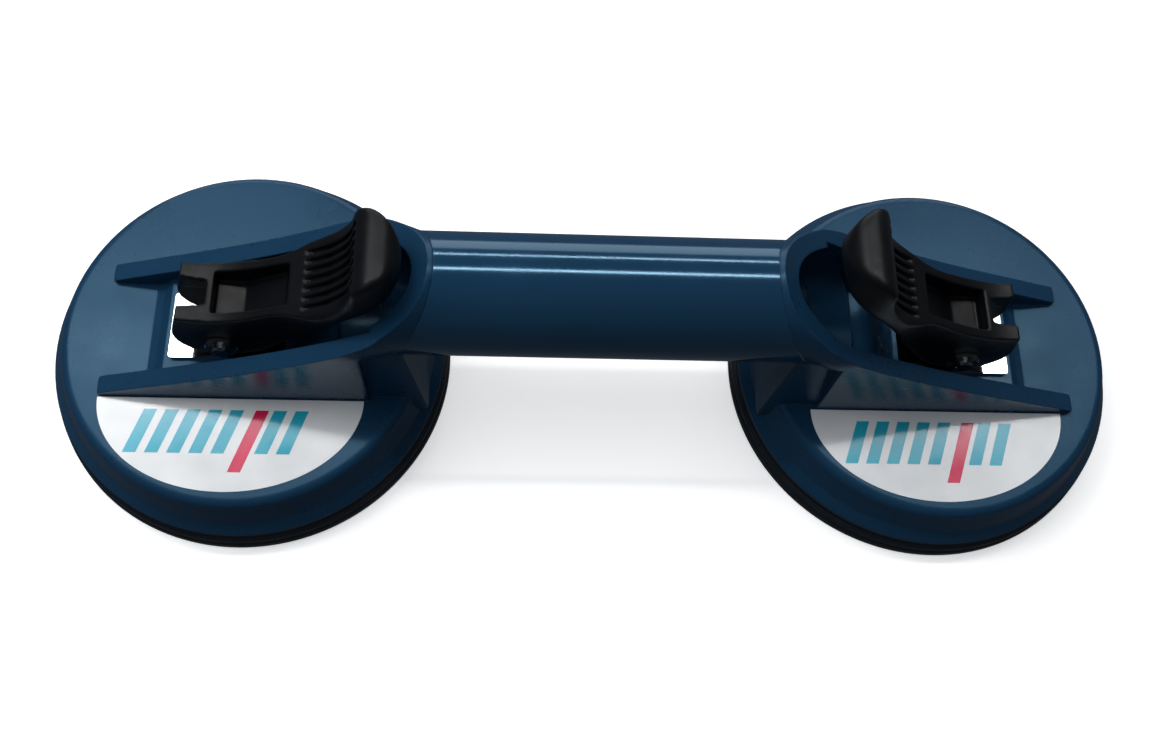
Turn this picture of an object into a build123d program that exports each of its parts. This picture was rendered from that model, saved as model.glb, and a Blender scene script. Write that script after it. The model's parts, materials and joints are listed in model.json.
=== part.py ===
from build123d import *
import math
import os

# Double-cup vacuum suction lifter. Millimetres, +Z up, +X along the handle.
# The origin is on the ground plane, midway between the two cups.
# Each end is built in its own frame, with the cup axis at x = 0 and the handle towards +x,
# then moved to the left, or mirrored to the right.
# The left lever is folded and the right one stands a little open.

# Driving dimensions
CUP_SPACING = 206.0
PAD_R = 59.3
DISC_TOP_Z = 21.0
TUBE_R = 17.0
TUBE_WALL = 4.5
TUBE_Z = 51.2
RIB_HALF_WIDTH = 20.4
RIB_THICKNESS = 5.3
RIB_END_X = -39.5
RIB_END_Z = 22.6
RIB_END_FILLET_R = 1.2
SEAT_TOP_Z = 24.5
PLATE_THICKNESS = 1.5
PIN_R = 2.5
PIN_X = -3.0
PIN_Z = 34.0
LEVER_SWING = 108.0
RIGHT_LEVER_OPEN = 9.0
STEM_LIFT = 6.0
CAM_CLEARANCE = 0.25
PAINTED_WALL = 3.5

# Disc, in (radius, z)
DISC_FLAT_R = 50.2
SHOULDER_R = 53.0
WALL_FOOT_R = 55.1
WALL_FOOT_Z = 12.2
SKIRT_R = 57.7
SKIRT_TOP_Z = 9.2
SKIRT_BOTTOM_Z = 7.6
CAVITY_R = 50.0
CAVITY_TOP_Z = DISC_TOP_Z - PAINTED_WALL

# Saddle between the ribs and the handle
MOUTH_LEAN = 0.53
COLLAR_TUBE_S = 57.4
COLLAR_WIDE_S = 46.5
COLLAR_REF_Z = TUBE_Z + TUBE_R
WALL_END_X = 37.5
NECK_START_X = 13.5
NECK_END_BASE_X = 54.5
NECK_END_TOP_X = 48.0
NECK_TOP_HALF_WIDTH = 15.5
NECK_TOP_Z = 47.0
NECK_BASE_Z = 12.0
CHANNEL_HALF_WIDTH = RIB_HALF_WIDTH - RIB_THICKNESS
BORE_R = TUBE_R - TUBE_WALL
BORE_FLOOR_Z = TUBE_Z - CHANNEL_HALF_WIDTH

# Pad, insert, spring and stem
PAD_SEAL_R = 48.0
PAD_RECESS_Z = 1.2
PAD_WEB_TOP_Z = 6.0
PAD_RIM_TOP_Z = 7.4
INSERT_R = 28.0
INSERT_THICKNESS = 2.5
STEM_R = 4.0
STEM_EYE_R = 5.4
STEM_EYE_THICKNESS = 6.0
SHANK_TOP_Z = 29.0
SPRING_POCKET_R = 10.5
SPRING_POCKET_TOP_Z = 21.0
SPRING_MEAN_R = 7.6
SPRING_WIRE_R = 0.6
SPRING_TURNS = 4.25
SPRING_SEAT_THICKNESS = 0.8

# Lever
LEVER_HALF_WIDTH = 9.0
LEVER_END_HALF_WIDTH = 13.0
LEVER_SLOT_HALF_WIDTH = 4.6
SLOT_TOP_Z = 42.6
POCKET_HALF_WIDTH = 6.1
ROLL_X = 43.0
ROLL_Z = 71.0
ROLL_R = 6.6
THUMB_GROOVES = 7
THUMB_GROOVE_PITCH = 2.75
THUMB_GROOVE_HALF_WIDTH = 0.7

# Label
LABEL_HALF_WIDTH = 37.7
LABEL_DEPTH = 27.6
LABEL_SHIFT = -1.7
LABEL_EDGE_Y = -20.8
LABEL_THICKNESS = 0.2


def revolved(points):
    """A solid of revolution about Z from (radius, z) points."""
    face = make_face(Plane.XZ * Polyline(*points, close=True))
    return revolve(face, Axis.Z)


def side_plate(outline, y_min, y_max):
    """A closed (x, z) outline, extruded from y_min to y_max."""
    face = make_face(Plane.XZ.offset(-y_min) * outline)
    return extrude(face, y_max - y_min, dir=(0, 1, 0))


def rod_y(x, z, radius, y_min, y_max):
    """A cylinder along Y."""
    base = Plane.XZ.offset(-y_min) * Pos(x, z) * Circle(radius)
    return extrude(base, y_max - y_min, dir=(0, 1, 0))


def block(x_min, x_max, y_min, y_max, z_min, z_max):
    """A box from its limits."""
    size = (x_max - x_min, y_max - y_min, z_max - z_min)
    centre = Pos((x_min + x_max) / 2, (y_min + y_max) / 2, (z_min + z_max) / 2)
    return centre * Box(*size)


def mouth_plane(s):
    """The leaning plane x - MOUTH_LEAN * (z - COLLAR_REF_Z) = s."""
    axis_x = s + MOUTH_LEAN * (TUBE_Z - COLLAR_REF_Z)
    return Plane(origin=(axis_x, 0, TUBE_Z), x_dir=(0, 1, 0), z_dir=(1, 0, -MOUTH_LEAN))


def mouth_section(s, radius):
    """The ellipse in which the leaning plane cuts a cylinder about the handle's axis."""
    return mouth_plane(s) * Ellipse(radius, radius * math.hypot(1, MOUTH_LEAN))


def beyond_mouth(s):
    """A large solid that fills the space on the handle side of the leaning plane."""
    return extrude(mouth_plane(s) * Rectangle(400, 400), 400)


def beyond_walls():
    """The space past the flat walls: leaning above the handle's axis, upright below it."""
    upper = beyond_mouth(COLLAR_WIDE_S) & block(-100, 200, -60, 60, TUBE_Z, 200)
    return upper + block(WALL_END_X, 200, -60, 60, -10, TUBE_Z)


def saddle_profile():
    """Side outline of the ribs and saddle: low at the outer end, rising to the handle."""
    start = (RIB_END_X, RIB_END_Z)
    middle = [(-13, 32.4), (7, 40.4), (21, 47.0), (36, 55.2), (44, 60.0)]
    rise = Spline(start, *middle, (51, 64.4), (60, 74.0))
    rest = Polyline((60, 74.0), (60, 14), (RIB_END_X, 14), start)
    return Curve() + [rise, rest]


def arch_section(half_width):
    """A tall arch across the end: straight legs and a round top about the handle's axis."""
    legs = Pos(0, TUBE_Z / 2) * Rectangle(2 * half_width, TUBE_Z)
    return legs + Pos(0, TUBE_Z) * Circle(half_width)


def across(section, x_min, x_max):
    """A (y, z) section extruded along X."""
    plane = Plane(origin=(x_min, 0, 0), x_dir=(0, 1, 0), z_dir=(1, 0, 0))
    return extrude(plane * section, x_max - x_min)


def disc_body():
    """The round casting with its rounded shoulder, steep wall and flared skirt."""
    shoulder = ThreePointArc(
        (DISC_FLAT_R, DISC_TOP_Z), (DISC_FLAT_R + 2.05, DISC_TOP_Z - 0.85), (SHOULDER_R, DISC_TOP_Z - 2.9)
    )
    side = Polyline(
        (SHOULDER_R, DISC_TOP_Z - 2.9),
        (WALL_FOOT_R, WALL_FOOT_Z),
        (SKIRT_R, SKIRT_TOP_Z),
        (SKIRT_R, SKIRT_BOTTOM_Z),
        (0, SKIRT_BOTTOM_Z),
        (0, DISC_TOP_Z),
        (DISC_FLAT_R, DISC_TOP_Z),
    )
    return revolve(make_face(Plane.XZ * (Curve() + [shoulder, side])), Axis.Z)


def disc_cavity():
    """The space over the pad, with the pocket that holds the return spring."""
    space = revolved([
        (0, 0),
        (SKIRT_R - 2.2, 0),
        (SKIRT_R - 2.2, SKIRT_BOTTOM_Z + 0.6),
        (CAVITY_R, CAVITY_TOP_Z - 1.5),
        (CAVITY_R - 2, CAVITY_TOP_Z),
        (0, CAVITY_TOP_Z),
    ])
    pocket = Pos(0, 0, (CAVITY_TOP_Z + SPRING_POCKET_TOP_Z) / 2 - 1) * Cylinder(
        SPRING_POCKET_R, SPRING_POCKET_TOP_Z - CAVITY_TOP_Z + 2
    )
    return space + pocket


def seat_boss():
    """The raised seat between the ribs that carries the wear plate."""
    outline = Polyline(
        (-26.6, DISC_TOP_Z - 0.5),
        (-26.6, DISC_TOP_Z),
        (-24.2, DISC_TOP_Z + 0.9),
        (-21.4, SEAT_TOP_Z),
        (NECK_START_X, SEAT_TOP_Z),
        (NECK_START_X, DISC_TOP_Z - 0.5),
        close=True,
    )
    return side_plate(outline, -CHANNEL_HALF_WIDTH - 1, CHANNEL_HALF_WIDTH + 1)


def neck_block():
    """The drafted block that carries the handle down to the disc."""
    half = RIB_HALF_WIDTH
    low = Polyline(
        (NECK_START_X, -half),
        (NECK_END_BASE_X, -half),
        (NECK_END_BASE_X, half),
        (NECK_START_X, half),
        close=True,
    )
    top_half = NECK_TOP_HALF_WIDTH
    high = Polyline(
        (NECK_START_X, -top_half),
        (NECK_END_TOP_X, -top_half),
        (NECK_END_TOP_X, top_half),
        (NECK_START_X, top_half),
        close=True,
    )
    draft = loft([
        make_face(Plane.XY.offset(NECK_BASE_Z) * low),
        make_face(Plane.XY.offset(NECK_TOP_Z) * high),
    ])
    round_disc = Pos(0, 0, 40) * Cylinder(SKIRT_R - 0.4, 80)
    return draft & round_disc & side_plate(saddle_profile(), -RIB_HALF_WIDTH, RIB_HALF_WIDTH)


def channel_cut():
    """The open channel between the ribs, its ramp, and the tapering mouth of the handle."""
    rise = Spline(
        (13.5, SEAT_TOP_Z), (18.5, 28.4), (22.5, 33.8), (27.5, BORE_FLOOR_Z), tangents=[(1, 0), (1, 0)]
    )
    rest = Polyline(
        (27.5, BORE_FLOOR_Z),
        (60, BORE_FLOOR_Z),
        (60, 90),
        (-70, 90),
        (-70, DISC_TOP_Z),
        (-26.6, DISC_TOP_Z),
        (-24.2, DISC_TOP_Z + 0.9),
        (-21.4, SEAT_TOP_Z),
        (13.5, SEAT_TOP_Z),
    )
    floor = Curve() + [rise, rest]
    channel = side_plate(floor, -CHANNEL_HALF_WIDTH, CHANNEL_HALF_WIDTH) - beyond_mouth(COLLAR_WIDE_S)
    mouth = loft([
        mouth_section(COLLAR_WIDE_S, CHANNEL_HALF_WIDTH),
        mouth_section(COLLAR_TUBE_S, BORE_R),
    ])
    return channel + mouth


def neck_core():
    """The hollow under the neck, open to the space over the pad."""
    low = Pos(33.5, 0, 10) * Rectangle(26, 28)
    high = Pos(33.5, 0, 32.0) * Rectangle(20, 22)
    return loft([low, high])


def cup_housing():
    """One end casting: disc, ribs, saddle, collar and neck."""
    ribs = side_plate(saddle_profile(), -RIB_HALF_WIDTH, RIB_HALF_WIDTH)
    saddle = ribs & across(arch_section(RIB_HALF_WIDTH), -60, 70)
    saddle = saddle - beyond_walls()
    collar = loft([
        mouth_section(COLLAR_WIDE_S, RIB_HALF_WIDTH),
        mouth_section(COLLAR_TUBE_S, TUBE_R),
    ])
    collar = collar & side_plate(saddle_profile(), -40, 40)
    handle_space = across(Pos(0, TUBE_Z) * Circle(TUBE_R), 20, 80) & beyond_mouth(COLLAR_TUBE_S)
    body = disc_body() + saddle + collar + neck_block() - handle_space
    body = body - channel_cut()
    body = body + seat_boss() - disc_cavity() - neck_core()
    body = body - Cylinder(STEM_R + 0.05, 80)
    rib_ends = [
        edge
        for edge in body.edges()
        if abs((edge @ 0.5).X - RIB_END_X) < 0.05 and (edge @ 0.5).Z > DISC_TOP_Z + 0.3
    ]
    return body.fillet(RIB_END_FILLET_R, rib_ends)


def rubber_pad():
    """The rubber pad: sealing rim with two grooves, thin web and ringed underside."""
    outline = [
        (0, PAD_RECESS_Z),
        (PAD_SEAL_R - 4, PAD_RECESS_Z),
        (PAD_SEAL_R, 0),
        (PAD_R - 0.4, 0),
        (PAD_R, 0.5),
        (PAD_R - 0.2, 2.6),
        (PAD_R - 1.2, 3.0),
        (PAD_R - 1.2, 3.6),
        (PAD_R - 0.5, 4.0),
        (PAD_R - 0.7, 5.4),
        (PAD_R - 1.7, 5.8),
        (PAD_R - 1.7, 6.4),
        (PAD_R - 1.4, PAD_RIM_TOP_Z),
        (PAD_R - 8, PAD_RIM_TOP_Z),
        (PAD_R - 12, PAD_WEB_TOP_Z),
        (0, PAD_WEB_TOP_Z),
    ]
    pad = revolved(outline)
    for ring_r in (14, 22, 30, 38):
        pad = pad - revolved([(ring_r, 0), (ring_r + 1.6, 0), (ring_r + 1.2, 2.0), (ring_r + 0.4, 2.0)])
    return pad


def pad_insert():
    """The steel disc bonded to the pad, with a rolled edge."""
    top = PAD_WEB_TOP_Z + INSERT_THICKNESS
    return revolved([
        (STEM_R - 1.0, PAD_WEB_TOP_Z),
        (INSERT_R - 0.4, PAD_WEB_TOP_Z),
        (INSERT_R, PAD_WEB_TOP_Z + 0.4),
        (INSERT_R, top - 0.4),
        (INSERT_R - 0.4, top),
        (STEM_R - 1.0, top),
    ])


def lift_stem():
    """The stem: a shank riveted through the insert, and an eye for the pivot pin."""
    shank = revolved([
        (0, PAD_WEB_TOP_Z),
        (STEM_R - 1.0, PAD_WEB_TOP_Z),
        (STEM_R - 1.0, PAD_WEB_TOP_Z + INSERT_THICKNESS),
        (STEM_R, PAD_WEB_TOP_Z + INSERT_THICKNESS),
        (STEM_R, SHANK_TOP_Z),
        (0, SHANK_TOP_Z),
    ])
    crank = Polyline(
        (-STEM_R + 0.6, SHANK_TOP_Z - 2),
        (STEM_R - 0.6, SHANK_TOP_Z - 2),
        (STEM_R - 0.6, SHANK_TOP_Z),
        (PIN_X + STEM_EYE_R, PIN_Z),
        (PIN_X - STEM_EYE_R, PIN_Z),
        close=True,
    )
    half = STEM_EYE_THICKNESS / 2
    eye = rod_y(PIN_X, PIN_Z, STEM_EYE_R, -half, half) + side_plate(crank, -half, half)
    hole = rod_y(PIN_X, PIN_Z, PIN_R, -10, 10)
    return shank + eye - hole


def return_spring(lift):
    """The compression spring around the stem, between the lifted insert and its upper seat."""
    bottom = PAD_WEB_TOP_Z + INSERT_THICKNESS + SPRING_WIRE_R + lift
    top = SPRING_POCKET_TOP_Z - SPRING_SEAT_THICKNESS - SPRING_WIRE_R
    height = top - bottom
    path = Helix(height / SPRING_TURNS, height, SPRING_MEAN_R)
    section = Plane(origin=path @ 0, z_dir=path % 0) * Circle(SPRING_WIRE_R)
    return Pos(0, 0, bottom) * sweep(section, path)


def spring_seat():
    """The washer that the spring pushes against."""
    ring = Circle(SPRING_POCKET_R - 0.3) - Circle(STEM_R + 0.5)
    return Pos(0, 0, SPRING_POCKET_TOP_Z - SPRING_SEAT_THICKNESS) * extrude(ring, SPRING_SEAT_THICKNESS)


def wear_plate():
    """The polished plate that the lever's cams slide on."""
    outline = Pos(-3.4, 0) * RectangleRounded(32.8, 20.2, 1.0) - Circle(STEM_R + 0.5)
    return Pos(0, 0, SEAT_TOP_Z) * extrude(outline, PLATE_THICKNESS)


def cam_curve():
    """Cam outline: the pin stands higher over the plate in step with the lever's swing."""
    rest_height = PIN_Z - SEAT_TOP_Z - PLATE_THICKNESS - CAM_CLEARANCE
    rise = STEM_LIFT / math.radians(LEVER_SWING)
    points = []
    steps = 9
    for i in range(steps + 1):
        swing = math.radians(LEVER_SWING) * i / steps
        normal = -math.pi / 2 - swing
        height = rest_height + rise * swing
        x = height * math.cos(normal) + rise * math.sin(normal)
        z = height * math.sin(normal) - rise * math.cos(normal)
        points.append((PIN_X + x, PIN_Z + z))
    return points


def lever_outline():
    """Side outline of the lever: cam, foot, back, thumb rest, roll and belly."""
    cam = cam_curve()
    foot_length = 8.4
    lean = math.radians(LEVER_SWING - 90)
    foot_end = (cam[-1][0] + foot_length * math.sin(lean), cam[-1][1] + foot_length * math.cos(lean))
    roll_left = (ROLL_X - ROLL_R * 0.94, ROLL_Z + ROLL_R * 0.35)
    roll_low = (ROLL_X + ROLL_R * 0.35, ROLL_Z - ROLL_R * 0.94)
    back = Spline(foot_end, (-3.0, 48.7), (6.0, 50.6), (17.0, 55.0), (28.0, 60.4), (34.0, 66.4), roll_left)
    roll = ThreePointArc(roll_left, (ROLL_X + ROLL_R * 0.7071, ROLL_Z + ROLL_R * 0.7071), roll_low)
    under = [(36.0, 60.0), (28.0, 52.6), (19.5, 41.6), (11.4, 32.8), (5.0, 28.4), (-1.0, 26.7)]
    belly = Spline(roll_low, *under, cam[0])
    return Curve() + [Spline(*cam), Line(cam[-1], foot_end), back, roll, belly]


def lever_plan():
    """Plan of the lever: straight cheeks that widen into a half-round thumb end."""
    end_x = ROLL_X + ROLL_R - LEVER_END_HALF_WIDTH
    edges = []
    for side in (-1, 1):
        points = [
            (-22, side * (LEVER_HALF_WIDTH - 0.6)),
            (-6, side * LEVER_HALF_WIDTH),
            (8, side * LEVER_HALF_WIDTH),
            (17, side * (LEVER_HALF_WIDTH + 0.3)),
            (26, side * (LEVER_END_HALF_WIDTH - 0.8)),
            (end_x, side * LEVER_END_HALF_WIDTH),
        ]
        edges.append(Spline(*points, tangents=[(1, 0), (1, 0)]))
    thumb_end = ThreePointArc(
        (end_x, -LEVER_END_HALF_WIDTH), (end_x + LEVER_END_HALF_WIDTH, 0), (end_x, LEVER_END_HALF_WIDTH)
    )
    foot_end = Line((-22, -LEVER_HALF_WIDTH + 0.6), (-22, LEVER_HALF_WIDTH - 0.6))
    return make_face(Curve() + [*edges, thumb_end, foot_end])


def lever():
    """The black cam lever with its forked foot, pocket, thumb grooves and rolled end."""
    body = side_plate(lever_outline(), -20, 20) & extrude(lever_plan(), 100)

    stem_slot = Polyline(
        (-30, 20), (7.2, 20), (7.2, 38.6), (4.0, 40.6), (-5.5, SLOT_TOP_Z), (-30, SLOT_TOP_Z), close=True
    )
    body = body - side_plate(stem_slot, -LEVER_SLOT_HALF_WIDTH, LEVER_SLOT_HALF_WIDTH)

    ear_gap = Polyline((-5.5, -3.5), (-5.5, 3.5), (-17, 4.9), (-17, -4.9), close=True)
    body = body - Pos(0, 0, SLOT_TOP_Z) * extrude(make_face(ear_gap), 20)

    pocket = Polyline((-3.9, 70), (-3.3, 44.0), (4.5, 43.4), (17.0, 50.0), (21.5, 70), close=True)
    body = body - side_plate(pocket, -POCKET_HALF_WIDTH, POCKET_HALF_WIDTH)

    groove_floor = [(21.8, 57.4), (24.2, 56.8), (29.4, 59.4), (35.6, 65.8), (38.4, 72.6)]
    groove = Polyline(*groove_floor, (36.4, 80.0), (16.0, 70.0), close=True)
    for i in range(THUMB_GROOVES):
        y = (i - (THUMB_GROOVES - 1) / 2) * THUMB_GROOVE_PITCH
        body = body - side_plate(groove, y - THUMB_GROOVE_HALF_WIDTH, y + THUMB_GROOVE_HALF_WIDTH)

    return body - rod_y(PIN_X, PIN_Z, PIN_R + 0.05, -30, 30)


def pivot_pin():
    """The pivot pin, with a groove near each end for its clip."""
    pin = rod_y(PIN_X, PIN_Z, PIN_R, -12.2, 12.2)
    for sign in (-1, 1):
        low, high = sorted((sign * 10.4, sign * 11.3))
        core = rod_y(PIN_X, PIN_Z, PIN_R - 0.5, low, high)
        pin = pin - (rod_y(PIN_X, PIN_Z, PIN_R + 1, low, high) - core)
    return pin


def pin_washers():
    """One washer outside each cheek of the lever."""
    washers = []
    for sign in (-1, 1):
        low, high = sorted((sign * 9.3, sign * 10.3))
        hole = rod_y(PIN_X, PIN_Z, PIN_R, low, high)
        washers.append(rod_y(PIN_X, PIN_Z, 4.6, low, high) - hole)
    return Compound(children=washers)


def pin_clips():
    """One snap clip in each groove of the pin, open at the top."""
    clips = []
    for sign in (-1, 1):
        low, high = sorted((sign * 10.45, sign * 11.25))
        clip = rod_y(PIN_X, PIN_Z, 4.0, low, high) - rod_y(PIN_X, PIN_Z, PIN_R - 0.5, low, high)
        gap = block(PIN_X - 1.3, PIN_X + 1.3, low, high, PIN_Z, PIN_Z + 6)
        clips.append(clip - gap)
    return Compound(children=clips)


def label(shift):
    """The half-oval label on the disc, in front of the near rib."""
    oval = Pos(shift, LABEL_EDGE_Y) * Ellipse(LABEL_HALF_WIDTH, LABEL_DEPTH)
    front = Pos(0, LABEL_EDGE_Y - 50) * Rectangle(200, 100)
    return Pos(0, 0, DISC_TOP_Z) * extrude(oval & front, LABEL_THICKNESS)


def handle_tube():
    """The handle, with both ends cut to lean over the mouths of the castings."""
    half = CUP_SPACING / 2
    wall = across(Pos(0, TUBE_Z) * (Circle(TUBE_R) - Circle(BORE_R)), -half, half)
    left_waste = Pos(-half, 0, 0) * (across(Rectangle(200, 200), -100, 160) - beyond_mouth(COLLAR_TUBE_S))
    return wall - left_waste - mirror(left_waste, Plane.YZ)


def place_left(shape):
    """Move a piece from its end's own frame to the left end."""
    return Pos(-CUP_SPACING / 2, 0, 0) * shape


def place_right(shape):
    """Mirror a piece from its end's own frame to the right end."""
    return mirror(place_left(shape), Plane.YZ)


def end_pieces(swing):
    """The pieces of one end in its own frame, with the lever swung out by an angle."""
    lift = STEM_LIFT * swing / LEVER_SWING
    raised = Pos(0, 0, lift)
    swung = Pos(PIN_X, 0, PIN_Z + lift) * Rot(0, -swing, 0) * Pos(-PIN_X, 0, -PIN_Z)
    return {
        "cup_housing": cup_housing(),
        "rubber_pad": rubber_pad(),
        "pad_insert": raised * pad_insert(),
        "lift_stem": raised * lift_stem(),
        "return_spring": return_spring(lift),
        "spring_seat": spring_seat(),
        "wear_plate": wear_plate(),
        "lever": swung * lever(),
        "pivot_pin": raised * pivot_pin(),
        "pin_washers": raised * pin_washers(),
        "pin_clips": raised * pin_clips(),
    }


def build_nodes():
    """Every node by name. The left lever is folded and the right one stands a little open."""
    nodes = {"handle_tube": handle_tube()}
    for name, shape in end_pieces(0).items():
        nodes["left_" + name] = place_left(shape)
    for name, shape in end_pieces(RIGHT_LEVER_OPEN).items():
        nodes["right_" + name] = place_right(shape)
    nodes["left_label"] = place_left(label(LABEL_SHIFT))
    nodes["right_label"] = place_right(label(-LABEL_SHIFT))
    return nodes


os.makedirs("parts", exist_ok=True)
for node_name, node_shape in build_nodes().items():
    export_step(node_shape, os.path.join("parts", node_name + ".step"))
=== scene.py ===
import json
import math

import bmesh
import bpy
from mathutils import Matrix, Vector


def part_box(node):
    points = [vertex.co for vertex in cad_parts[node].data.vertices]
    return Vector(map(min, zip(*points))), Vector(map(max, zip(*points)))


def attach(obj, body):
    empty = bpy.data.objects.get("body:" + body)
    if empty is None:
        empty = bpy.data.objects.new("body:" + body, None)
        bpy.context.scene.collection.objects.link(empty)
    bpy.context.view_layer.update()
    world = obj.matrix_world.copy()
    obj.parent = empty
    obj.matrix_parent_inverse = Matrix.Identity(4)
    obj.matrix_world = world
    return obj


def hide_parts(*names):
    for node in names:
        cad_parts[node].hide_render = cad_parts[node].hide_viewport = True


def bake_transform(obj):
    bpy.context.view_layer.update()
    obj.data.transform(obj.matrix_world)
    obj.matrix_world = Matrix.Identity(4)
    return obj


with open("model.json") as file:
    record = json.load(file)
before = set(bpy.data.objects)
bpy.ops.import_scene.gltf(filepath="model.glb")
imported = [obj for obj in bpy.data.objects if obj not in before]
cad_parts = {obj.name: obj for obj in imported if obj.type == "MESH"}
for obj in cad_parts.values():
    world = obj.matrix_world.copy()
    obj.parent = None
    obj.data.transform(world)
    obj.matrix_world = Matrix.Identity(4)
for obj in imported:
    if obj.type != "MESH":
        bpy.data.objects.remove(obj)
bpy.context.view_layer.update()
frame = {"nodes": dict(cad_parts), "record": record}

MM = 0.001
SIDES = ("left", "right")
looks = {}

# Camera, in radians, metres and, for lens and sensor, millimetres
AZIMUTH = math.radians(-8.78)
ELEVATION = math.radians(68.02)
ROLL = math.radians(9.28)
LOOK_AT = Vector((-0.00375, -0.0016, 0.0))
DISTANCE = 0.3768
CLIP_START = 0.01
LENS = 37.37
SENSOR_WIDTH = 36.0

# Colours, linear
PAINT = (0.0068, 0.033, 0.074)
PAINT_PALE = tuple(c * 1.2 for c in PAINT)
PAINT_WORN = (0.030, 0.085, 0.15)
PAINT_SHEEN = (0.40, 0.74, 1.0)
RUBBER = (0.005, 0.009, 0.014)
RUBBER_DUST = (0.014, 0.019, 0.026)
BLACK = (0.0026, 0.0032, 0.0042)
BLACK_RUBBED = (0.0042, 0.0046, 0.0060)
STEEL = (0.62, 0.63, 0.65)
BRIGHT = (0.90, 0.92, 0.94)
SPRING = (0.30, 0.30, 0.31)
WHITE_FILM = (0.86, 0.89, 0.91)
TEAL = (0.018, 0.44, 0.60)
MAGENTA = (0.74, 0.006, 0.09)
DULL_STEEL = 0.82
SOILED_FILM = 0.90

# Floor and surroundings. The floor is square and its size is in metres
FLOOR = (0.88, 0.89, 0.90)
FLOOR_GLOW = 0.58
FLOOR_ROUGHNESS = 0.9
FLOOR_SIZE = 6.0
SKY = (0.80, 0.88, 1.0)
SKY_STRENGTH = 0.09

# Lights: name, azimuth and elevation in degrees, distance, size, watts, the point they are aimed
# at, and whether glossy surfaces mirror them. Azimuth 0 is in front of the object, 180 behind it
MIDDLE = (0, 0, 0)
LEFT_CUP = (-0.10, 0, 0.02)
LEFT_PLATE = (-0.120, 0, 0.026)
RIGHT_PLATE = (0.120, 0, 0.026)
LIGHTS = (
    ("key_left", -112, 58, 0.65, (0.40, 0.40), 2.2, LEFT_CUP, False),
    ("overhead", 0, 72, 1.5, (1.3, 0.9), 1.5, MIDDLE, False),
    ("front_fill", -15, 28, 1.5, (0.9, 0.3), 0.45, MIDDLE, False),
    ("strip_high", 180, 70, 1.2, (1.3, 0.055), 4.2, MIDDLE, True),
    ("strip_low", 180, 40, 1.3, (1.5, 0.035), 3.2, MIDDLE, True),
    ("back_soft", 180, 15, 1.4, (1.8, 0.55), 5.0, MIDDLE, True),
    ("left_plate_card", 214, 62, 1.0, (0.30, 0.22), 0.40, LEFT_PLATE, True),
    ("right_plate_card", 134, 58, 1.0, (0.30, 0.22), 0.40, RIGHT_PLATE, True),
)

# Label print: a row of slanted bars, one of them longer and in the second colour
BAR_COUNT = 8
BAR_PITCH = 6.1 * MM
BAR_WIDTH = 3.7 * MM
BAR_LEAN = 0.35
BAR_LENGTH = 13.0 * MM
LONG_BAR_LENGTH = 18.5 * MM
LONG_BAR = 5
BAR_BACK = 3.4 * MM
PRINT_SHIFT = -3.2 * MM
INK = 0.04 * MM
INK_GAP = 0.2 * INK

# Lever mesh. Depths are from the thumb end, half widths from the lever's middle plane
LEVER_VOXEL = 0.30 * MM
LEVER_SMOOTH_STEPS = 14
LEVER_FACES_KEPT = 0.35
ROLL_SMOOTH_STEPS = 160
SMOOTH_FACTOR = 0.5
ROLL_DEPTH = (7.0 * MM, 10.0 * MM)
RAIL_DEPTH = (20.0 * MM, 26.0 * MM)
RAIL_HALF_WIDTH = (9.4 * MM, 10.8 * MM)

# Return spring, in millimetres
SPRING_TURNS = 4.25
SPRING_STEPS = 200
WIRE_SIDES = 14
WIRE_R = 0.6
COIL_R = 7.6

# Rubber pad, in millimetres. A groove's radius is that of its inner edge
PAD_SEGMENTS = 180
PAD_CORNER = 0.32
PAD_CORNER_STEPS = 4
PAD_CAP_R = 0.5
PAD_WEB_Z = (1.2, 6.0)
PAD_GROOVE_RADII = (14, 22, 30, 38)
PAD_GROOVE_Z = 2.0
PAD_SKIRT_Z = 7.4


def view_axes():
    """The camera's three axes, from azimuth, elevation and roll."""
    right = Vector((math.cos(AZIMUTH), math.sin(AZIMUTH), 0))
    back = Vector((
        math.sin(AZIMUTH) * math.cos(ELEVATION),
        -math.cos(AZIMUTH) * math.cos(ELEVATION),
        math.sin(ELEVATION),
    ))
    up = back.cross(right)
    cam_x = math.cos(ROLL) * right + math.sin(ROLL) * up
    cam_y = -math.sin(ROLL) * right + math.cos(ROLL) * up
    return cam_x, cam_y, back


def make_camera():
    """The camera, looking down on the object from the front, left of its middle."""
    data = bpy.data.cameras.new("camera")
    data.lens = LENS
    data.sensor_width = SENSOR_WIDTH
    data.sensor_fit = "HORIZONTAL"
    data.clip_start = CLIP_START
    camera = bpy.data.objects.new("camera", data)
    bpy.context.scene.collection.objects.link(camera)
    cam_x, cam_y, cam_z = view_axes()
    place = Matrix((cam_x, cam_y, cam_z)).transposed().to_4x4()
    place.translation = LOOK_AT + cam_z * DISTANCE
    camera.matrix_world = place
    bpy.context.scene.camera = camera


def area_light(name, azimuth, elevation, distance, size, watts, aim, mirrored):
    """A rectangular soft box aimed at a point."""
    az = math.radians(azimuth)
    el = math.radians(elevation)
    towards = Vector((math.sin(az) * math.cos(el), -math.cos(az) * math.cos(el), math.sin(el)))
    data = bpy.data.lights.new(name, "AREA")
    data.shape = "RECTANGLE"
    data.size, data.size_y = size
    data.energy = watts
    light = bpy.data.objects.new(name, data)
    bpy.context.scene.collection.objects.link(light)
    light.location = Vector(aim) + towards * distance
    light.rotation_euler = towards.to_track_quat("Z", "Y").to_euler()
    light.visible_glossy = mirrored


def make_lights():
    """A dim bluish world and the studio lights."""
    world = bpy.data.worlds.new("studio")
    world.use_nodes = True
    background = world.node_tree.nodes["Background"]
    background.inputs["Color"].default_value = (*SKY, 1)
    background.inputs["Strength"].default_value = SKY_STRENGTH
    bpy.context.scene.world = world
    for light in LIGHTS:
        area_light(*light)


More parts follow.
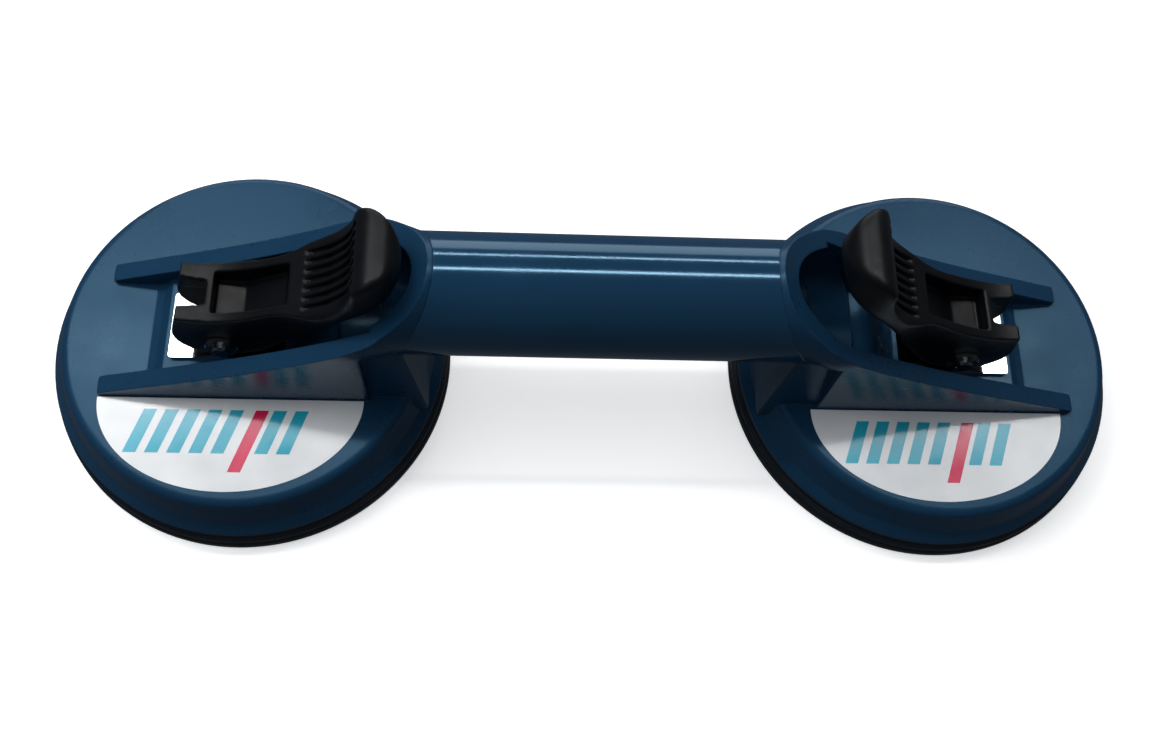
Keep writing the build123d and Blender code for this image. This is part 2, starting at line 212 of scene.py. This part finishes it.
def link_mesh(name, mesh):
    """A new object in the scene that holds a mesh."""
    piece = bpy.data.objects.new(name, mesh)
    bpy.context.scene.collection.objects.link(piece)
    return piece


def make_floor():
    """A white sheet that glows a little and neither lights the object nor shows in its gloss."""
    half = FLOOR_SIZE / 2
    mesh = bpy.data.meshes.new("floor")
    corners = [(-half, -half, 0), (half, -half, 0), (half, half, 0), (-half, half, 0)]
    mesh.from_pydata(corners, [], [(0, 1, 2, 3)])
    floor = link_mesh("floor", mesh)
    shader = new_material("floor_paper")[1]
    shader.inputs["Base Color"].default_value = (*FLOOR, 1)
    shader.inputs["Roughness"].default_value = FLOOR_ROUGHNESS
    shader.inputs["Emission Color"].default_value = (*FLOOR, 1)
    shader.inputs["Emission Strength"].default_value = FLOOR_GLOW
    mesh.materials.append(looks["floor_paper"])
    floor.visible_diffuse = False
    floor.visible_glossy = False


def new_material(name):
    """A material with a Principled shader, kept in looks. Returns its tree and shader."""
    material = bpy.data.materials.new("look_" + name)
    material.use_nodes = True
    looks[name] = material
    return material.node_tree, material.node_tree.nodes["Principled BSDF"]


def noise(tree, scale, detail, roughness=0.5, stretch=(1, 1, 1)):
    """Noise on the object's own coordinates. Scale is in features per metre."""
    coords = tree.nodes.new("ShaderNodeTexCoord")
    mapping = tree.nodes.new("ShaderNodeMapping")
    mapping.inputs["Scale"].default_value = stretch
    texture = tree.nodes.new("ShaderNodeTexNoise")
    texture.inputs["Scale"].default_value = scale
    texture.inputs["Detail"].default_value = detail
    texture.inputs["Roughness"].default_value = roughness
    tree.links.new(coords.outputs["Object"], mapping.inputs["Vector"])
    tree.links.new(mapping.outputs["Vector"], texture.inputs["Vector"])
    return texture.outputs["Fac"]


def span(tree, value, low, high, start=0.3, end=0.7):
    """Map a value from start to end onto low to high. Noise mostly lies from 0.3 to 0.7."""
    node = tree.nodes.new("ShaderNodeMapRange")
    node.inputs["From Min"].default_value = start
    node.inputs["From Max"].default_value = end
    node.inputs["To Min"].default_value = low
    node.inputs["To Max"].default_value = high
    tree.links.new(value, node.inputs["Value"])
    return node.outputs["Result"]


def blend_colours(tree, factor, first, second):
    """Mix two colours, or a socket and a colour, by a factor."""
    mix = tree.nodes.new("ShaderNodeMix")
    mix.data_type = "RGBA"
    tree.links.new(factor, mix.inputs["Factor"])
    # Sockets 6 and 7 are the node's two colours, and output 2 is the mixed colour
    for socket, colour in ((mix.inputs[6], first), (mix.inputs[7], second)):
        if isinstance(colour, tuple):
            socket.default_value = (*colour, 1)
        else:
            tree.links.new(colour, socket)
    return mix.outputs[2]


def bump(tree, shader, height, distance, strength, under=None):
    """Bump of a distance in metres, laid over an earlier normal if one is given."""
    node = tree.nodes.new("ShaderNodeBump")
    node.inputs["Distance"].default_value = distance
    node.inputs["Strength"].default_value = strength
    tree.links.new(height, node.inputs["Height"])
    if under:
        tree.links.new(under, node.inputs["Normal"])
    tree.links.new(node.outputs["Normal"], shader.inputs["Normal"])


def edge_mask(tree, radius):
    """1 near the edges of a shape and 0 on its open faces, with the rounded normal."""
    bevel = tree.nodes.new("ShaderNodeBevel")
    bevel.inputs["Radius"].default_value = radius
    geometry = tree.nodes.new("ShaderNodeNewGeometry")
    dot = tree.nodes.new("ShaderNodeVectorMath")
    dot.operation = "DOT_PRODUCT"
    tree.links.new(bevel.outputs["Normal"], dot.inputs[0])
    tree.links.new(geometry.outputs["Normal"], dot.inputs[1])
    return span(tree, dot.outputs["Value"], 1.0, 0.0, 0.90, 0.995), bevel.outputs["Normal"]


def paint_material(name, roughness, peel, gloss):
    """Dark blue paint with orange peel, faint mottling and thinner paint along edges."""
    tree, shader = new_material(name)
    edge, rounded = edge_mask(tree, 0.7 * MM)
    mottled = blend_colours(tree, span(tree, noise(tree, 28, 4), 0, 1), PAINT, PAINT_PALE)
    wear = tree.nodes.new("ShaderNodeMath")
    wear.operation = "MULTIPLY"
    tree.links.new(edge, wear.inputs[0])
    tree.links.new(span(tree, noise(tree, 420, 4, 0.7), 0, 0.55, 0.42, 0.68), wear.inputs[1])
    colour = blend_colours(tree, wear.outputs[0], mottled, PAINT_WORN)
    tree.links.new(colour, shader.inputs["Base Color"])
    tree.links.new(span(tree, noise(tree, 60, 5, 0.6), *roughness), shader.inputs["Roughness"])
    shader.inputs["Specular IOR Level"].default_value = gloss
    shader.inputs["Specular Tint"].default_value = (*PAINT_SHEEN, 1)
    bump(tree, shader, noise(tree, 620, 2), 0.02 * MM, peel, rounded)


def rubber_material():
    """Moulded rubber with a fine skin, pale dust and a soft sheen."""
    tree, shader = new_material("rubber")
    dusty = span(tree, noise(tree, 130, 6, 0.7), 0, 0.5, 0.48, 0.75)
    tree.links.new(blend_colours(tree, dusty, RUBBER, RUBBER_DUST), shader.inputs["Base Color"])
    tree.links.new(span(tree, noise(tree, 200, 4), 0.34, 0.52), shader.inputs["Roughness"])
    bump(tree, shader, noise(tree, 2400, 3), 0.03 * MM, 0.5)


def plastic_material():
    """Satin black moulded plastic with a spark-eroded grain."""
    tree, shader = new_material("black_plastic")
    rubbed = span(tree, noise(tree, 90, 5, 0.65), 0, 0.8)
    tree.links.new(blend_colours(tree, rubbed, BLACK, BLACK_RUBBED), shader.inputs["Base Color"])
    tree.links.new(span(tree, noise(tree, 240, 4), 0.30, 0.42), shader.inputs["Roughness"])
    shader.inputs["Specular IOR Level"].default_value = 0.24
    bump(tree, shader, noise(tree, 2600, 2), 0.03 * MM, 0.45)


def metal_material(name, colour, roughness, grain, stretch=(1, 1, 1)):
    """Bare or plated steel with a cloudy grain, or a directional one if it is stretched."""
    tree, shader = new_material(name)
    shader.inputs["Metallic"].default_value = 1.0
    clouds = noise(tree, grain, 4, 0.6, stretch)
    dull = tuple(c * DULL_STEEL for c in colour)
    shade = blend_colours(tree, span(tree, clouds, 0, 1), dull, colour)
    tree.links.new(shade, shader.inputs["Base Color"])
    tree.links.new(span(tree, clouds, *roughness), shader.inputs["Roughness"])
    bump(tree, shader, clouds, 0.01 * MM, 0.3)


def film_material(name, colour):
    """Printed glossy film with slight waviness."""
    tree, shader = new_material(name)
    soiled = tuple(c * SOILED_FILM for c in colour)
    shade = blend_colours(tree, span(tree, noise(tree, 70, 5), 0, 1), colour, soiled)
    tree.links.new(shade, shader.inputs["Base Color"])
    tree.links.new(span(tree, noise(tree, 160, 3), 0.12, 0.24), shader.inputs["Roughness"])
    shader.inputs["Coat Weight"].default_value = 0.15
    shader.inputs["Coat Roughness"].default_value = 0.06
    bump(tree, shader, noise(tree, 90, 2), 0.03 * MM, 0.3)


def make_materials():
    """One material for each slot in the record, and those of the tube and the inks."""
    paint_material("blue_paint", (0.24, 0.34), 0.35, 0.50)
    paint_material("tube_paint", (0.09, 0.14), 0.12, 1.0)
    rubber_material()
    plastic_material()
    metal_material("zinc_steel", STEEL, (0.26, 0.42), 260)
    metal_material("spring_steel", SPRING, (0.28, 0.40), 900)
    metal_material("polished_steel", BRIGHT, (0.07, 0.16), 300, (1, 14, 1))
    metal_material("bright_pin", BRIGHT, (0.08, 0.18), 700)
    film_material("label_film", WHITE_FILM)
    film_material("teal_ink", TEAL)
    film_material("magenta_ink", MAGENTA)


def dress_nodes():
    """Give every CAD node the material of its slot in the record, and the tube its own paint."""
    for part in frame["record"]["subparts"]:
        for slot in frame["nodes"][part["node"]].material_slots:
            slot.material = looks[part["material_slot"]]
    for slot in frame["nodes"]["handle_tube"].material_slots:
        slot.material = looks["tube_paint"]


def body_with(node):
    """The name of the body that a CAD node rides on."""
    bodies = frame["record"]["behaviour"]["bodies"]
    return next(name for name, nodes in bodies.items() if node in nodes)


def piece_from(name, shape, look, smooth):
    """Turn a bmesh into a linked piece with outward normals and one material."""
    bmesh.ops.recalc_face_normals(shape, faces=shape.faces)
    mesh = bpy.data.meshes.new(name)
    shape.to_mesh(mesh)
    shape.free()
    for face in mesh.polygons:
        face.use_smooth = smooth
    mesh.materials.append(looks[look])
    return link_mesh(name, mesh)


def slanted_bar(shape, middle, back, length, height):
    """One thin slanted bar of ink added to a bmesh."""
    lean = BAR_LEAN * length / 2
    half = BAR_WIDTH / 2
    front = back - length
    ring = [
        (middle + lean - half, back),
        (middle + lean + half, back),
        (middle - lean + half, front),
        (middle - lean - half, front),
    ]
    bottom = [shape.verts.new((x, y, height + INK_GAP)) for x, y in ring]
    top = [shape.verts.new((x, y, height + INK_GAP + INK)) for x, y in ring]
    shape.faces.new(top)
    shape.faces.new(bottom)
    for j in range(4):
        k = (j + 1) % 4
        shape.faces.new((bottom[j], top[j], top[k], bottom[k]))


def label_print(side):
    """Slanted bars printed on the label, one of them in the second colour."""
    low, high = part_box(side + "_label")
    centre_x = (low[0] + high[0]) / 2 + PRINT_SHIFT
    bars = {"teal_ink": bmesh.new(), "magenta_ink": bmesh.new()}
    for i in range(BAR_COUNT):
        ink, length = ("magenta_ink", LONG_BAR_LENGTH) if i == LONG_BAR else ("teal_ink", BAR_LENGTH)
        middle = centre_x + (i - (BAR_COUNT - 1) / 2) * BAR_PITCH
        slanted_bar(bars[ink], middle, high[1] - BAR_BACK, length, high[2])
    for ink, shape in bars.items():
        piece = piece_from(side + "_print_" + ink, shape, ink, smooth=False)
        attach(piece, body_with(side + "_label"))


def rounded_corners(points):
    """The pad's closed outline with each corner turned into a short curve."""
    outline = []
    for i, corner in enumerate(points):
        here = Vector(corner)
        before = Vector(points[i - 1]) - here
        after = Vector(points[(i + 1) % len(points)]) - here
        reach = min(PAD_CORNER, before.length * 0.45, after.length * 0.45)
        start = here + before.normalized() * reach
        end = here + after.normalized() * reach
        for j in range(PAD_CORNER_STEPS + 1):
            t = j / PAD_CORNER_STEPS
            outline.append(start * (1 - t) ** 2 + here * 2 * t * (1 - t) + end * t ** 2)
    return outline


def pad_outline(rim):
    """Half section of the pad in (radius, height), from the underside round to the top."""
    web, seat = PAD_WEB_Z
    under = [(PAD_CAP_R, web)]
    for r in PAD_GROOVE_RADII:
        under += [(r, web), (r + 0.4, PAD_GROOVE_Z), (r + 1.2, PAD_GROOVE_Z), (r + 1.6, web)]
    lip = [(rim - 15.3, web), (rim - 11.3, 0), (rim - 0.4, 0), (rim, 0.5), (rim - 0.2, 2.6)]
    waist = [(rim - 1.2, 3.0), (rim - 1.2, 3.6)]
    bead = [(rim - 0.5, 4.0), (rim - 0.7, 5.4), (rim - 1.7, 5.8), (rim - 1.7, 6.4)]
    top = [(rim - 1.4, PAD_SKIRT_Z), (rim - 8, PAD_SKIRT_Z), (rim - 12, seat), (PAD_CAP_R, seat)]
    return rounded_corners(under + lip + waist + bead + top)


def moulded_pad(side):
    """The rubber pad with soft moulded edges, in place of the sharp-edged CAD one."""
    low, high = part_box(side + "_rubber_pad")
    centre_x = (low[0] + high[0]) / 2
    outline = pad_outline((high[1] - low[1]) / 2 / MM)
    shape = bmesh.new()
    rings = []
    for i in range(PAD_SEGMENTS):
        turn = 2 * math.pi * i / PAD_SEGMENTS
        rings.append([
            shape.verts.new((centre_x + r * MM * math.cos(turn), r * MM * math.sin(turn), z * MM))
            for r, z in outline
        ])
    for i in range(PAD_SEGMENTS):
        here = rings[i]
        following = rings[(i + 1) % PAD_SEGMENTS]
        for j in range(len(outline) - 1):
            shape.faces.new((here[j], following[j], following[j + 1], here[j + 1]))
    shape.faces.new([ring[0] for ring in rings])
    shape.faces.new([ring[-1] for ring in rings])
    piece = piece_from(side + "_rubber_pad_moulding", shape, "rubber", smooth=True)
    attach(piece, body_with(side + "_rubber_pad"))
    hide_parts(side + "_rubber_pad")


def wound_spring(side):
    """The return spring, wound as a coil at its rest length in place of the CAD one. The real spring
    shortens between its fixed seat and the rising insert.
    """
    low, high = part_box(side + "_return_spring")
    centre_x = (low[0] + high[0]) / 2
    bottom = low[2] + WIRE_R * MM
    height = high[2] - low[2] - 2 * WIRE_R * MM
    hand = 1 if side == "left" else -1
    shape = bmesh.new()
    rings = []
    for i in range(SPRING_STEPS + 1):
        share = i / SPRING_STEPS
        turn = 2 * math.pi * SPRING_TURNS * share
        outward = Vector((hand * math.cos(turn), math.sin(turn), 0))
        middle = Vector((centre_x, 0, bottom + height * share)) + outward * COIL_R * MM
        ring = []
        for j in range(WIRE_SIDES):
            angle = 2 * math.pi * j / WIRE_SIDES
            offset = outward * math.cos(angle) + Vector((0, 0, math.sin(angle)))
            ring.append(shape.verts.new(middle + offset * WIRE_R * MM))
        rings.append(ring)
    for here, following in zip(rings, rings[1:]):
        for j in range(WIRE_SIDES):
            k = (j + 1) % WIRE_SIDES
            shape.faces.new((here[j], here[k], following[k], following[j]))
    shape.faces.new(rings[0])
    shape.faces.new(rings[-1])
    piece = piece_from(side + "_spring_coil", shape, "spring_steel", smooth=True)
    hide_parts(side + "_return_spring")
    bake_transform(piece)


def apply_modifiers(piece):
    """Bake a piece's modifiers into its mesh."""
    bpy.context.view_layer.update()
    graph = bpy.context.evaluated_depsgraph_get()
    mesh = bpy.data.meshes.new_from_object(piece.evaluated_get(graph))
    piece.modifiers.clear()
    piece.data = mesh


def fade(value, limits):
    """1 below the first limit, 0 above the second and a straight ramp between them."""
    start, end = limits
    return min(1.0, max(0.0, (end - value) / (end - start)))


def mark_roll(piece, side):
    """A vertex group over the rolled thumb end and the flared rails beside the grooves."""
    low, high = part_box(side + "_lever")
    tip_x = high[0] if side == "left" else low[0]
    group = piece.vertex_groups.new(name="roll")
    for vertex in piece.data.vertices:
        depth = abs(vertex.co.x - tip_x)
        rail = fade(depth, RAIL_DEPTH) * (1.0 - fade(abs(vertex.co.y), RAIL_HALF_WIDTH))
        group.add([vertex.index], max(fade(depth, ROLL_DEPTH), rail), "REPLACE")


def add_smoothing(piece, name, steps):
    """A smoothing modifier. Returns it."""
    smoothing = piece.modifiers.new(name, "SMOOTH")
    smoothing.factor = SMOOTH_FACTOR
    smoothing.iterations = steps
    return smoothing


def moulded_lever(side):
    """The lever with the soft edges of a moulding, in place of the sharp-edged CAD one."""
    node = frame["nodes"][side + "_lever"]
    piece = link_mesh(side + "_lever_moulding", node.data.copy())
    remesh = piece.modifiers.new("remesh", "REMESH")
    remesh.mode = "VOXEL"
    remesh.voxel_size = LEVER_VOXEL
    apply_modifiers(piece)
    mark_roll(piece, side)
    add_smoothing(piece, "round_roll", ROLL_SMOOTH_STEPS).vertex_group = "roll"
    add_smoothing(piece, "soften", LEVER_SMOOTH_STEPS)
    piece.modifiers.new("lighten", "DECIMATE").ratio = LEVER_FACES_KEPT
    apply_modifiers(piece)
    piece.data.materials.clear()
    piece.data.materials.append(looks["black_plastic"])
    for face in piece.data.polygons:
        face.use_smooth = True
        face.material_index = 0
    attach(piece, body_with(side + "_lever"))
    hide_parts(side + "_lever")


make_camera()
make_lights()
make_floor()
make_materials()
dress_nodes()
for side in SIDES:
    label_print(side)
    wound_spring(side)
    moulded_pad(side)
    moulded_lever(side)

bpy.context.scene.view_settings.view_transform = "Standard"
